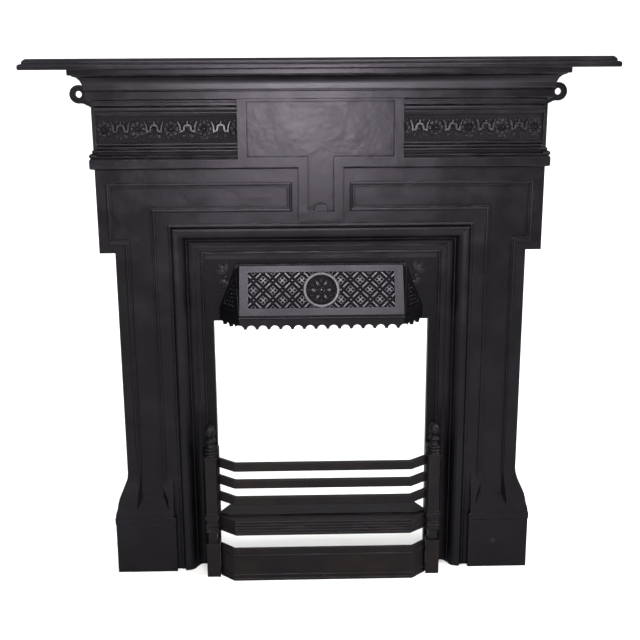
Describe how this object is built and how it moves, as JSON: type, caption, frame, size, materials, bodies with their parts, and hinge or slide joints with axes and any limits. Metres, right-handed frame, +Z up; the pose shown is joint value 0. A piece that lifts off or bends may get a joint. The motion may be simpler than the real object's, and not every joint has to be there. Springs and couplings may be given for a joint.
{
  "type": "fireplace surround",
  "caption": "Victorian cast-iron combination fireplace: moulded mantel shelf, T-shaped tablet, panelled jambs, rolled architrave, hood, front grate and ash-pan cover, open through the fire.",
  "frame": {"origin": "on the hearth, under the middle of the mantel shelf's length and of its depth", "axes": "+X to the right of someone facing the fire, -Y out of the wall towards the room, +Z up"},
  "size_m": [1.214, 0.17, 1.17],
  "materials": {
    "blacked_iron": "sand-cast iron, blacked and lightly burnished",
    "fireside_iron": "sand-cast iron, blacked, dulled by the fire"
  },
  "bodies": {
    "root": {"mantel_shelf": "blacked_iron", "surround_casting": "blacked_iron", "hood": "blacked_iron", "front_grate": "fireside_iron", "ash_pan_cover": "fireside_iron"}
  },
  "joints": []
}
